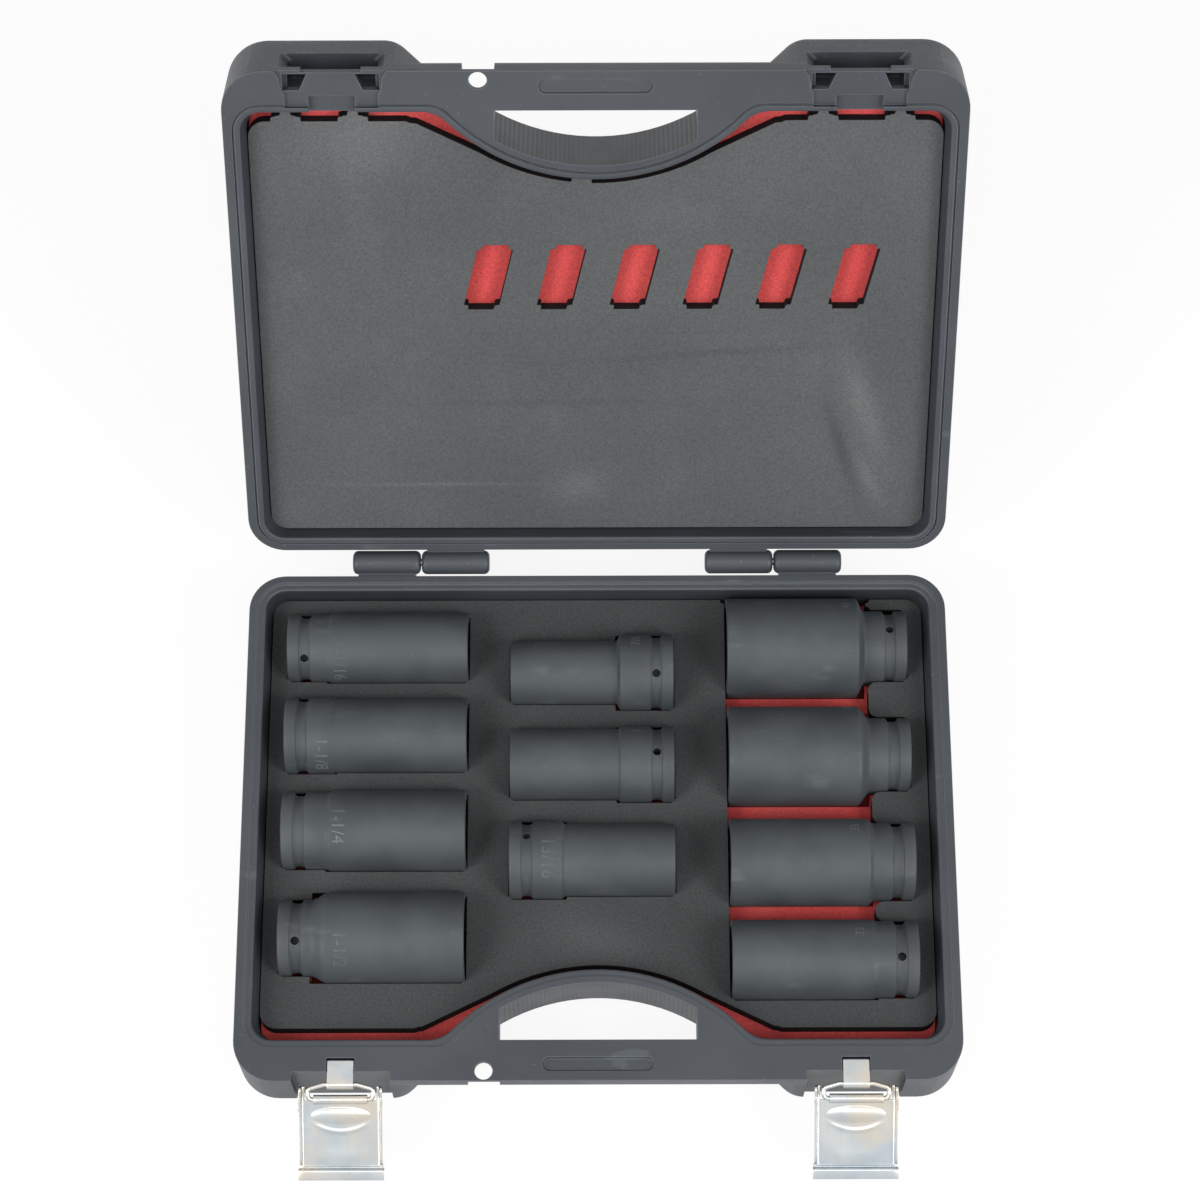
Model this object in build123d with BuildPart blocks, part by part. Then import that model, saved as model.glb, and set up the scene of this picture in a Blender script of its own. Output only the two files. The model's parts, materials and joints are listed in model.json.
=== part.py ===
from build123d import *
import math
import os

os.makedirs("parts", exist_ok=True)

# ---------------------------------------------------------------- case halves
case_width = 386.0
case_depth = 286.0
half_height = 52.0          # from the parting face to the outer skin
back_corner = 20.0
front_corner = 22.0
outer_round = 14.0          # rounding between a half's side wall and its skin
side_wall = 9.2
back_wall = 8.3
front_wall = 22.7
skin = 3.0                  # floor of a half, under the foam
parting_gap = 0.3           # between the two rims when the case is shut

# Tray: its bulge round the finger opening, the lean of its walls and its rounded edge
cavity_corner = 11.0
bulge_radius = 108.0
bulge_crest = 60.9          # from the front edge back to the crest
bulge_blend = 18.0
wall_lean = 2.2             # side and front walls, from the rim down to the foam
bead = 1.2
bead_middle = 0.35          # height and width left at the middle of the bead's two chamfers

# Tongue on the lid's inner rim, step in the base's, and the line beside them
tongue_width = 3.2
tongue_height = 1.0
tongue_clearance = 0.3
step_clearance = 0.2        # under the tongue when the case is shut
groove_width = 0.9
groove_depth = 0.8

# Handle bar and finger opening
bar_width = 22.0
bar_thickness = 20.0
bar_round = 12.0
bar_inner_round = 6.0
finger_half_width = 52.4
finger_height = 31.0
finger_radius = 104.0       # of its arc, along the tray
finger_corner = 8.5         # beside the bar
finger_far_corner = 12.0    # beside the tray
base_finger_wall = 33.0     # upright part of the opening's wall, below the rim
lid_finger_wall = 37.0
finger_slope = 30.0         # lean of the wall below it, from upright
block_reach = 18.0          # corner blocks at the bar's ends, behind the bar
block_round = 1.0
deep_end = 104.0            # half the gap between the full-depth corner blocks
deep_slope = 17.0           # how far their ends slope back
deep_round = 16.0           # upright edges of the blocks
bar_overlap = 8.0           # of the bar into the blocks
grip_length = 59.0
grip_width = 7.6
grip_depth = 1.4
grip_taper = 30.0
grip_inset = 9.0            # from the front edge to the hollow's middle
padlock_x = -60.5
padlock_radius = 4.75
padlock_inset = 5.4         # from the front edge to the hole's centre
padlock_flange = 2.4
padlock_pocket = 17.0

# ---------------------------------------------------------------- lid hinge
open_angle = 126.7
hinge_offset = 8.1          # axis behind the back wall
knuckle_radius = 6.6
knuckle_inner = 60.0        # ends of a hinge, from the middle of the case
knuckle_outer = 136.0
knuckle_gap = 0.6
knuckle_brace = 12.0
knuckle_root = 3.0          # of an arm, inside the back wall
knuckle_end = 3.0           # rounding of a barrel's ends
pin_radius = 2.0
pin_seat = 0.02             # in the base's knuckle, where the pin stays put
pin_running = 0.06          # in the lid's knuckle
pin_recess = 3.0            # solid end left beyond each end of the pin

# ---------------------------------------------------------------- latches
latch_x = 136.0
sheet = 1.2                 # steel of the strap and lever
wire_radius = 1.2
latch_running = 0.1
strap_width = 14.0
strap_sink = 0.5            # strap below the rim
strap_leg = 8.0
strap_leg_inset = 11.5      # from the front edge
ring_width = 37.0
ring_length = 8.0           # between its two bars
ring_round = 2.4
ring_crown = 9.0            # half the straight stretch of the bar in the strap's loop
ring_shoulder = 2.4         # how far its ends slope away from the loop
ring_angle = 28.0           # below level, with the latch open
lever_width = 44.0
lever_ear = 6.5             # ears beside the ring, past the ring's outer bar
lever_ear_width = 2.6
lever_length = 44.5         # from the ring's outer bar to the end of the lip
lever_angle = 30.0          # below level, with the latch open
lever_flange = 3.4          # flanges and ears, from the lever's outer face
hook_root = 1.8             # hooks that pass over the lid's ledge, from the ring's outer bar
hook_end = 4.8
hook_tip = 2.4
hook_height = 8.0
lip_length = 6.4
lip_height = 3.6
roll_width = 28.4           # roll round the ring's outer bar
roll_notch = 1.8            # room for the ring's sides at the ends of the roll
lever_roll = 2.5            # its outer radius
lever_face = 2.65           # lever's outer face, from the middle of the ring's bar
emboss_length = 31.0
emboss_width = 9.0
emboss_height = 0.7
emboss_at = 9.0             # from the ring's outer bar
loop_proud = 1.2            # strap loop's axis in front of the case
base_recess_width = 52.0    # full-height recess behind the latch
base_recess_depth = 5.0
strap_clearance = 0.4
catch_drop = 1.6            # catch recess in the lid's rim
catch_outline = [(29.0, 0.0), (26.5, 4.0), (25.5, 11.0), (24.0, 13.2), (24.0, 20.0)]
pocket_front = 2.2          # pockets beside the pad, from the front edge, down to the slot
pocket_back = 11.2
pocket_half = 25.0
pocket_depth = 7.0
pad_front_half = 12.3
pad_back_half = 16.5
ledge_relief = 1.4          # room for the lever's roll, in the front of the ledge
ledge_relief_width = 31.0
notch_width = 24.3          # notch between the catch recess and the tray
notch_back = 14.5
notch_drop = 4.6
slot_width = 47.0           # hand slot in the front wall, under the catch
slot_low = 6.0
slot_high = 24.0
slot_depth = 14.0
slot_flare = 4.0
slot_flare_depth = 4.0
slot_round = 3.0

# ---------------------------------------------------------------- foam
base_foam_drop = 15.0       # black face below the base's rim
base_black = 10.0
base_black_side = 2.8
base_black_back = 0.6
base_black_front = 9.4
base_black_bulge = 5.6
lid_foam_drop = 9.0
lid_black = 7.5
lid_black_side = 2.8
lid_black_back = 0.6
lid_black_front = 9.0
lid_black_bulge = 6.2
foam_corner = 9.0
red_clearance = 0.6
socket_clearance = 0.3
lid_clearance = 0.5         # over the highest socket when the case is shut
land_width = 10.5           # tabs of black foam that reach the lid's wall
land_gap = 1.0
land_middle = -7.5
lands_left = [22.8, 57.8]   # from the tray's left side
lands_right = [65.8, 25.8]
inlays = 6                  # slanted windows through the lid's black foam
inlay_height = 38.0
inlay_width = 19.0
inlay_pitch = 39.0
inlay_slant = 9.0
inlay_x = 40.0
inlay_from_back = 164.0

# ---------------------------------------------------------------- sockets
long_socket_length = 100.0
short_socket_length = 90.0
drive_square = 19.05
drive_depth = 25.0
flange_length = 6.5
drive_groove = 6.1
drive_groove_depth = 2.0
pin_hole_radius = 2.3
socket_edge = 1.2
mouth_chamfer = 1.6
mouth_flare = 0.5           # chamfer beyond the hexagon's corners
relief_length = 28.0        # between the hexagon and the square
relief_share = 0.8          # relief bore against the hexagon's flats
slant_end = 42.0            # where the foam's front edge leaves the bulge
slant_start = 96.0          # and where it runs straight
pocket_side = 0.6           # black foam's clearance round a socket
finger_tip = 5.0

column_inset = 12.3         # from the tray's sides to the drive ends of the side columns
middle_column = -3.0        # middle of the middle column
left_column = side_wall + column_inset - case_width / 2
right_column = case_width / 2 - side_wall - column_inset

# name, column, share of the column's spare length left behind the socket, flats, body, drive,
# collar, cone, drive end (-1 left, 1 right), pin hole angle forward of straight up
sockets = [
    ("socket_1_1_16", "left", 0.117, 27.0, 39.8, 38.0, 22.0, 3.0, -1, 38.0),
    ("socket_1_1_8", "left", 0.133, 28.6, 41.3, 42.5, 26.0, 2.0, -1, 180.0),
    ("socket_1_1_4", "left", 0.143, 31.8, 44.6, 42.5, 24.0, 3.0, -1, 180.0),
    ("socket_1_1_2", "left", 0.166, 38.1, 49.4, 41.5, 17.3, 9.2, -1, 19.0),
    ("socket_7_8", "middle", 0.177, 22.2, 36.0, 43.0, 29.0, 2.5, 1, 20.0),
    ("socket_1", "middle", 0.087, 25.4, 39.5, 42.5, 29.0, 2.0, 1, -4.0),
    ("socket_13_16", "middle", 0.095, 20.6, 39.7, 42.8, 28.0, 2.5, -1, -27.0),
    ("socket_41", "right", 0.0, 41.0, 56.1, 41.6, 23.0, 5.0, 1, -14.0),
    ("socket_38", "right", 0.154, 38.0, 55.1, 42.0, 22.0, 7.0, 1, 180.0),
    ("socket_35", "right", 0.202, 35.0, 47.7, 42.5, 22.0, 4.0, 1, 180.0),
    ("socket_32", "right", 0.173, 32.0, 43.3, 41.5, 22.0, 3.0, 1, 10.0),
]

# ---------------------------------------------------------------- frames
# Each half is drawn on its rim: x along the case, y from the hinge edge to the handle, z out of the half
base_rim = Plane(origin=(0, case_depth / 2, half_height), x_dir=(-1, 0, 0), z_dir=(0, 0, 1))
hinge_y = case_depth / 2 + hinge_offset
hinge_z = half_height + parting_gap / 2
turn = math.radians(open_angle)
lid_rim = Plane(
    origin=(
        0,
        hinge_y - hinge_offset * math.cos(turn) + parting_gap / 2 * math.sin(turn),
        hinge_z + hinge_offset * math.sin(turn) + parting_gap / 2 * math.cos(turn),
    ),
    x_dir=(1, 0, 0),
    z_dir=(0, -math.sin(turn), -math.cos(turn)),
)


def save(builder, name):
    builder.part.label = name
    export_step(builder.part, f"parts/{name}.step")


def lowest_edges(builder, rim):
    return builder.faces().sort_by(Axis(rim.origin, rim.z_dir))[0].edges()


def cavity_profile(grow=0.0, lean=0.0, recede=0.0):
    """The tray's outline moved outwards by grow. lean takes in its sides and front, recede its bulge."""
    back = back_wall - grow
    front = case_depth - front_wall + grow - lean
    half = case_width / 2 - side_wall + grow - lean
    with BuildSketch() as profile:
        with Locations((0, (back + front) / 2)):
            Rectangle(2 * half, front - back)
        with Locations((0, case_depth - bulge_crest + bulge_radius)):
            Circle(bulge_radius - grow + lean + recede, mode=Mode.SUBTRACT)
        at_sides = profile.vertices().filter_by(lambda v: abs(abs(v.X) - half) < 1)
        fillet(at_sides, cavity_corner + grow)
        at_bulge = profile.vertices().filter_by(lambda v: abs(v.X) < case_width / 2 - bulge_radius / 2)
        fillet(at_bulge.filter_by(lambda v: v.Y > front - 1), bulge_blend - grow)
    return profile.sketch


def tray_room(rim, levels):
    """The room inside a half. A level is a depth below the rim, then the outline's grow, lean, recede."""
    with BuildPart() as room:
        for depth, grow, lean, recede in levels:
            with BuildSketch(rim.offset(-depth)):
                add(cavity_profile(grow, lean, recede))
        loft(ruled=True)
    return room.part


def foam_room(rim, top, finger_wall, clearance):
    """The part of the tray that the red foam fills, or with no clearance all of it below top."""
    floor = half_height - skin
    recede = (floor - finger_wall) * math.tan(math.radians(finger_slope))
    return tray_room(rim, [
        (top, -clearance, wall_lean, 0),
        (finger_wall, -clearance, wall_lean, 0),
        (floor, -clearance, wall_lean, recede),
    ])


def finger_points():
    """Ends and crest of the arc round the fingers."""
    arc_end = case_depth - bar_width
    half = math.sqrt(finger_radius**2 - (finger_radius - finger_height)**2)
    return (half, arc_end), (0, arc_end - finger_height), (-half, arc_end)


def deep_profile():
    """The outline that runs the full depth of a half, open round the fingers."""
    half = case_width / 2
    right_end, crest, left_end = finger_points()
    with BuildSketch() as profile:
        with BuildLine():
            Polyline(
                left_end,
                (-deep_end + deep_slope, case_depth - deep_slope),
                (-deep_end, case_depth),
                (-half, case_depth),
                (-half, 0),
                (half, 0),
                (half, case_depth),
                (deep_end, case_depth),
                (deep_end - deep_slope, case_depth - deep_slope),
                right_end,
            )
            ThreePointArc(right_end, crest, left_end)
        make_face()
        at_sides = profile.vertices().filter_by(lambda v: abs(v.X) > half - 1)
        fillet(at_sides.filter_by(lambda v: v.Y < 1), back_corner)
        at_sides = profile.vertices().filter_by(lambda v: abs(v.X) > half - 1)
        fillet(at_sides.filter_by(lambda v: v.Y > case_depth - 1), front_corner)
        fillet(profile.vertices().filter_by(lambda v: abs(abs(v.X) - deep_end) < 1), deep_round)
        at_arc = profile.vertices().filter_by(lambda v: abs(abs(v.X) - right_end[0]) < 1)
        fillet(at_arc, deep_round)
    return profile.sketch


def finger_profile():
    right_end, crest, left_end = finger_points()
    with BuildSketch() as profile:
        with BuildLine():
            Line(left_end, right_end)
            ThreePointArc(right_end, crest, left_end)
        make_face()
        with Locations(right_end, left_end):
            Rectangle(2 * (right_end[0] - finger_half_width), 2 * finger_height, mode=Mode.SUBTRACT)
        at_bar = profile.vertices().filter_by(lambda v: v.Y > right_end[1] - 1)
        fillet(at_bar, finger_corner)
        at_tray = profile.vertices().filter_by(lambda v: v.Y < right_end[1] - finger_corner - 1)
        fillet(at_tray, finger_far_corner)
    return profile.sketch


def bar_profile(near, inner_round):
    """Handle bar section with a round outer edge, from near to the front edge."""
    with BuildSketch() as profile:
        with Locations(((near + case_depth) / 2, -bar_thickness / 2)):
            Rectangle(case_depth - near, bar_thickness)
        low = profile.vertices().filter_by(lambda v: v.Y < -1)
        fillet(low.sort_by(Axis.X)[-1], bar_round)
        low = profile.vertices().filter_by(lambda v: v.X < near + 1).filter_by(lambda v: v.Y < -1)
        fillet(low, inner_round)
    return profile.sketch


def across(rim, x=0.0):
    """A plane square to the case's length: x from hinge to handle, y out of the half."""
    return Plane(origin=rim.from_local_coords((x, 0, 0)), x_dir=rim.y_dir, z_dir=rim.x_dir)


def case_half(rim, side, edge, foam_drop, finger_wall):
    """One twin-wall half without its hinge and latch details. side is 1 where local x is the case's.

    edge is the depth of the tray's own edge: below the rim it is a step, above it a tongue.
    """
    _, crest, _ = finger_points()
    arc_lean = (half_height - finger_wall) * math.tan(math.radians(finger_slope))
    with BuildPart() as half:
        with BuildSketch(rim.offset(-half_height)):
            add(deep_profile())
        extrude(amount=half_height)
        fillet(lowest_edges(half, rim), outer_round)
        with BuildSketch(across(rim)):
            add(bar_profile(case_depth - bar_width, bar_inner_round))
        extrude(amount=deep_end + bar_overlap, both=True)
        block_middle = (deep_end - deep_slope / 2 + finger_half_width) / 2
        block_half = (deep_end - deep_slope / 2 - finger_half_width) / 2
        for x in (-block_middle, block_middle):
            with BuildSketch(across(rim, x)):
                add(bar_profile(case_depth - bar_width - block_reach, block_round))
            extrude(amount=block_half, both=True)
        with BuildSketch(rim):
            add(finger_profile())
        extrude(amount=-half_height, mode=Mode.SUBTRACT)
        for depth, radius in ((finger_wall, finger_radius), (half_height, finger_radius + arc_lean)):
            with BuildSketch(rim.offset(-depth)):
                with Locations((0, crest[1] + finger_radius)):
                    Circle(radius)
        loft(ruled=True, mode=Mode.SUBTRACT)
        if edge > 0:
            with BuildSketch(rim):
                add(cavity_profile(tongue_width + tongue_clearance))
            extrude(amount=-edge, mode=Mode.SUBTRACT)
        else:
            with BuildSketch(rim):
                add(cavity_profile(tongue_width))
            extrude(amount=-edge)
        add(tray_room(rim, [
            (edge, bead, 0, 0),
            (edge + bead_middle, bead_middle, 0, 0),
            (edge + bead, 0, 0, 0),
            (foam_drop, 0, wall_lean, 0),
        ]), mode=Mode.SUBTRACT)
        add(foam_room(rim, foam_drop, finger_wall, 0), mode=Mode.SUBTRACT)
        with BuildSketch(rim):
            add(cavity_profile(tongue_width + tongue_clearance + groove_width))
            add(cavity_profile(tongue_width + tongue_clearance), mode=Mode.SUBTRACT)
        extrude(amount=-groove_depth, mode=Mode.SUBTRACT)
        with BuildSketch(rim):
            with Locations((0, case_depth - grip_inset)):
                SlotOverall(grip_length, grip_width)
        extrude(amount=-grip_depth, taper=grip_taper, mode=Mode.SUBTRACT)
        hole = (side * padlock_x, case_depth - padlock_inset)
        with BuildSketch(rim.offset(-padlock_flange)):
            with Locations(hole):
                Rectangle(padlock_pocket, 2 * padlock_pocket)
        extrude(amount=-bar_thickness, mode=Mode.SUBTRACT)
        with BuildSketch(rim):
            with Locations(hole):
                Circle(padlock_radius)
        extrude(amount=-bar_thickness, mode=Mode.SUBTRACT)
    return half


# ---------------------------------------------------------------- hinges
def arm_profile():
    """Arm on the plane square to the hinge axis: x to the back, y up."""
    reach = hinge_offset + knuckle_root
    with BuildSketch() as profile:
        with BuildLine():
            Polyline(
                (-reach, -parting_gap),
                (-knuckle_radius, -parting_gap),
                (0, 0),
                (0, -knuckle_radius),
                (-hinge_offset, -knuckle_radius - knuckle_brace),
                (-reach, -knuckle_radius - knuckle_brace),
                close=True,
            )
        make_face()
    return profile.sketch


def make_knuckle(plane, length):
    """Round-ended barrel about the plane's own middle, with the arm that hangs from it."""
    with BuildPart() as knuckle:
        with BuildSketch(plane):
            Circle(knuckle_radius)
        extrude(amount=length / 2, both=True)
        fillet(knuckle.edges().filter_by(GeomType.CIRCLE), knuckle_end)
        with BuildSketch(plane):
            add(arm_profile())
        extrude(amount=length / 2 - knuckle_end, both=True)
    return knuckle.part


def hinge_plane(rim, x):
    """Square to the hinge axis at x, seen with the half's rim level."""
    back = rim.y_dir * -1
    axis_at = rim.from_local_coords((0, -hinge_offset, parting_gap / 2))
    return Plane(origin=axis_at + Vector(1, 0, 0) * x, x_dir=back, z_dir=back.cross(rim.z_dir))


def add_knuckles(half, rim, spans, bore):
    """Knuckles over the given stretches of x, bored for the pins. Returns the part."""
    with BuildPart() as with_knuckles:
        add(half.part)
        for low, high in spans:
            add(make_knuckle(hinge_plane(rim, (low + high) / 2), high - low))
        for low, high in pin_spans:
            with BuildSketch(hinge_plane(rim, (low + high) / 2)):
                Circle(bore)
            extrude(amount=(high - low) / 2 + parting_gap, both=True, mode=Mode.SUBTRACT)
    return with_knuckles.part


knuckle_middle = (knuckle_inner + knuckle_outer) / 2
inner_spans = []
outer_spans = []
pin_spans = []
for sign in (-1, 1):
    inner_spans.append(sorted((sign * knuckle_inner, sign * (knuckle_middle - knuckle_gap / 2))))
    outer_spans.append(sorted((sign * (knuckle_middle + knuckle_gap / 2), sign * knuckle_outer)))
    pin_spans.append(sorted((sign * (knuckle_inner + pin_recess), sign * (knuckle_outer - pin_recess))))


# ---------------------------------------------------------------- base
loop_y = -case_depth / 2 - loop_proud
latch_sides = [("left", -latch_x), ("right", latch_x)]
loop_inner = wire_radius + latch_running
loop_outer = loop_inner + sheet
loop_z = half_height - strap_sink - loop_outer
leg_y = -case_depth / 2 + strap_leg_inset

# Room cut for a strap's level run and for its leg
strap_room = strap_width + 2 * strap_clearance
run_room = strap_leg_inset + sheet / 2 + strap_clearance
run_drop = strap_sink + sheet + strap_clearance
leg_room = sheet + 2 * strap_clearance
leg_drop = strap_leg + strap_clearance


def make_base_shell():
    half = case_half(base_rim, -1, tongue_height + step_clearance, base_foam_drop, base_finger_wall)
    front = -case_depth / 2
    with BuildPart() as shell:
        add(add_knuckles(half, base_rim, outer_spans, pin_radius + pin_seat))
        for _, x in latch_sides:
            with Locations((x, front, half_height)):
                Box(base_recess_width, 2 * base_recess_depth, 3 * half_height, mode=Mode.SUBTRACT)
                Box(strap_room, 2 * run_room, 2 * run_drop, mode=Mode.SUBTRACT)
            with Locations((x, leg_y, half_height)):
                Box(strap_room, leg_room, 2 * leg_drop, mode=Mode.SUBTRACT)
    return shell


# ---------------------------------------------------------------- lid
def make_lid_shell():
    half = case_half(lid_rim, 1, -tongue_height, lid_foam_drop, lid_finger_wall)
    slot_height = slot_high - slot_low
    with BuildPart() as shell:
        add(add_knuckles(half, lid_rim, inner_spans, pin_radius + pin_running))
        for _, x in latch_sides:
            with BuildSketch(lid_rim.offset(tongue_height)):
                with BuildLine():
                    right = [(x + half_width, case_depth - back) for half_width, back in catch_outline]
                    left = [(x - half_width, case_depth - back) for half_width, back in catch_outline]
                    Polyline(*right, *reversed(left), close=True)
                make_face()
            extrude(amount=-tongue_height - catch_drop, mode=Mode.SUBTRACT)
            for side in (-1, 1):
                with BuildSketch(lid_rim):
                    with BuildLine():
                        Polyline(
                            (x + side * pad_front_half, case_depth - pocket_front),
                            (x + side * pocket_half, case_depth - pocket_front),
                            (x + side * pocket_half, case_depth - pocket_back),
                            (x + side * pad_back_half, case_depth - pocket_back),
                            close=True,
                        )
                    make_face()
                extrude(amount=-pocket_depth, mode=Mode.SUBTRACT)
            with BuildSketch(lid_rim.offset(tongue_height)):
                with Locations((x, case_depth - (notch_back + front_wall + wall_lean) / 2)):
                    Rectangle(notch_width, front_wall + wall_lean - notch_back)
            extrude(amount=-tongue_height - notch_drop, mode=Mode.SUBTRACT)
            with BuildSketch(lid_rim):
                with Locations((x, case_depth)):
                    Rectangle(ledge_relief_width, 2 * ledge_relief)
            extrude(amount=-slot_low, mode=Mode.SUBTRACT)
            front_face = Plane(
                origin=lid_rim.from_local_coords((x, case_depth, -(slot_low + slot_high) / 2)),
                x_dir=lid_rim.x_dir,
                z_dir=lid_rim.y_dir,
            )
            with BuildSketch(front_face):
                RectangleRounded(slot_width + 2 * slot_flare, slot_height, slot_round)
            with BuildSketch(front_face.offset(-slot_flare_depth)):
                RectangleRounded(slot_width, slot_height, slot_round)
            loft(ruled=True, mode=Mode.SUBTRACT)
            with BuildSketch(front_face.offset(-slot_flare_depth)):
                RectangleRounded(slot_width, slot_height, slot_round)
            extrude(amount=slot_flare_depth - slot_depth, mode=Mode.SUBTRACT)
    return shell


def make_pin(low, high):
    with BuildPart() as pin:
        with BuildSketch(hinge_plane(base_rim, (low + high) / 2)):
            Circle(pin_radius)
        extrude(amount=(high - low) / 2, both=True)
    return pin


# ---------------------------------------------------------------- foam
def black_profile(side, back, front, bulge):
    """The black foam's outline on the rim, inside the tray by the given gaps."""
    half = case_width / 2 - side_wall - side
    near = back_wall + back
    far = case_depth - front_wall - front
    centre = case_depth - bulge_crest + bulge_radius
    radius = bulge_radius + bulge
    at_slant = centre - math.sqrt(radius**2 - slant_end**2)
    with BuildSketch() as profile:
        with Locations((0, (near + far) / 2)):
            Rectangle(2 * half, far - near)
        fillet(profile.vertices(), foam_corner)
        with Locations((0, centre)):
            Circle(radius, mode=Mode.SUBTRACT)
        with BuildLine():
            Polyline(
                (-slant_start, far),
                (-slant_end, at_slant),
                (slant_end, at_slant),
                (slant_start, far),
                close=True,
            )
        make_face(mode=Mode.SUBTRACT)
    return profile.sketch


def column_places():
    """Each socket's distance from the back edge."""
    room = case_depth - back_wall - front_wall - socket_clearance
    places = {}
    for column in ("left", "middle", "right"):
        rows = [row for row in sockets if row[1] == column]
        spare = room - sum(max(row[4], row[5]) for row in rows)
        edge = back_wall + socket_clearance
        for name, _, share, _, body, drive, *_ in rows:
            edge += share * spare
            places[name] = edge + max(body, drive) / 2
            edge += max(body, drive)
    return places


from_back = column_places()


def axis_height(body, drive):
    """Level with the foam, or lower where the shut lid needs the room."""
    room = base_foam_drop + parting_gap + lid_foam_drop - lid_clearance
    return half_height - base_foam_drop + min(0, room - max(body, drive) / 2)


def socket_span(column, length, drive_end):
    """x of the drive end, x of the mouth."""
    if column == "left":
        return left_column, left_column + length
    if column == "right":
        return right_column, right_column - length
    return middle_column + drive_end * length / 2, middle_column - drive_end * length / 2


def socket_length(column):
    return short_socket_length if column == "middle" else long_socket_length


def socket_seats():
    """For each socket: its x stretches with their diameters, its y and its axis height."""
    seats = []
    for name, column, _, _, body, drive, collar, cone, drive_end, _ in sockets:
        start, mouth = socket_span(column, socket_length(column), drive_end)
        wide_drive = cone if drive > body else 0
        step = start - drive_end * (collar + wide_drive)
        y = case_depth / 2 - from_back[name]
        stretches = [(start, step, drive), (step, mouth, body)]
        seats.append((column, y, axis_height(body, drive), stretches))
    return seats


def make_base_red_foam():
    with BuildPart() as foam:
        add(foam_room(base_rim, base_foam_drop + base_black, base_finger_wall, red_clearance))
        for _, y, z, stretches in socket_seats():
            for start, end, size in stretches:
                middle = (start + end) / 2
                reach = abs(end - start) / 2 + socket_clearance
                with BuildSketch(Plane.YZ.offset(middle)):
                    with Locations((y, z)):
                        Circle(size / 2 + socket_clearance)
                extrude(amount=reach, both=True, mode=Mode.SUBTRACT)
    return foam


def make_base_black_foam():
    with BuildPart() as foam:
        with BuildSketch(base_rim.offset(-base_foam_drop - base_black)):
            add(black_profile(base_black_side, base_black_back, base_black_front, base_black_bulge))
        extrude(amount=base_black)
        right_seats = []
        shortest_collar = min(row[6] for row in sockets if row[1] == "right")
        open_pocket_right = right_column + pocket_side - shortest_collar
        open_pocket_left = right_column - long_socket_length - pocket_side
        for column, y, _, stretches in socket_seats():
            with BuildSketch(Plane.XY.offset(half_height)):
                for start, end, size in stretches:
                    with Locations(((start + end) / 2, y)):
                        Rectangle(abs(end - start) + 2 * pocket_side, size + 2 * pocket_side)
            extrude(amount=-half_height, mode=Mode.SUBTRACT)
            if column == "right":
                right_seats.append((y, stretches[0][2], stretches[1][2]))
        front = right_seats[-1][0] - right_seats[-1][2] / 2 - pocket_side
        with BuildSketch(Plane.XY.offset(half_height)):
            with Locations(((open_pocket_left + open_pocket_right) / 2, (front + case_depth / 2) / 2)):
                Rectangle(open_pocket_right - open_pocket_left, case_depth / 2 - front)
        extrude(amount=-half_height, mode=Mode.SUBTRACT)
        tips = foam.edges().filter_by(Axis.Z)
        tips = tips.filter_by(lambda e: abs(e.center().X - open_pocket_right) < 0.1)
        tips = tips.filter_by(lambda e: front + finger_tip / 2 < e.center().Y < right_seats[0][0])
        fillet(tips, finger_tip)
    return foam


def make_lid_red_foam():
    with BuildPart() as foam:
        add(foam_room(lid_rim, lid_foam_drop + lid_black, lid_finger_wall, red_clearance))
    return foam


def make_lid_black_foam():
    tray_half = case_width / 2 - side_wall
    land_places = [inset - tray_half for inset in lands_left] + [land_middle]
    land_places += [tray_half - inset for inset in lands_right]
    with BuildPart() as foam:
        with BuildSketch(lid_rim.offset(-lid_foam_drop - lid_black)):
            add(black_profile(lid_black_side, lid_black_back, lid_black_front, lid_black_bulge))
            with BuildSketch(mode=Mode.PRIVATE) as lands:
                land_y = case_depth - front_wall - lid_black_front
                with Locations([(x, land_y) for x in land_places]):
                    Rectangle(land_width, 2 * bulge_crest)
                add(cavity_profile(-land_gap, wall_lean), mode=Mode.INTERSECT)
                with Locations((0, inlay_from_back / 2)):
                    Rectangle(case_width, inlay_from_back, mode=Mode.SUBTRACT)
            add(lands.sketch)
            with BuildSketch(mode=Mode.PRIVATE) as window:
                with BuildLine():
                    Polyline(
                        (-inlay_width / 2 - inlay_slant / 2, -inlay_height / 2),
                        (inlay_width / 2 - inlay_slant / 2, -inlay_height / 2),
                        (inlay_width / 2 + inlay_slant / 2, inlay_height / 2),
                        (-inlay_width / 2 + inlay_slant / 2, inlay_height / 2),
                        close=True,
                    )
                make_face()
            with Locations((inlay_x, inlay_from_back)):
                with GridLocations(inlay_pitch, 0, inlays, 1):
                    add(window.sketch, mode=Mode.SUBTRACT)
        extrude(amount=lid_black)
    return foam


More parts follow.
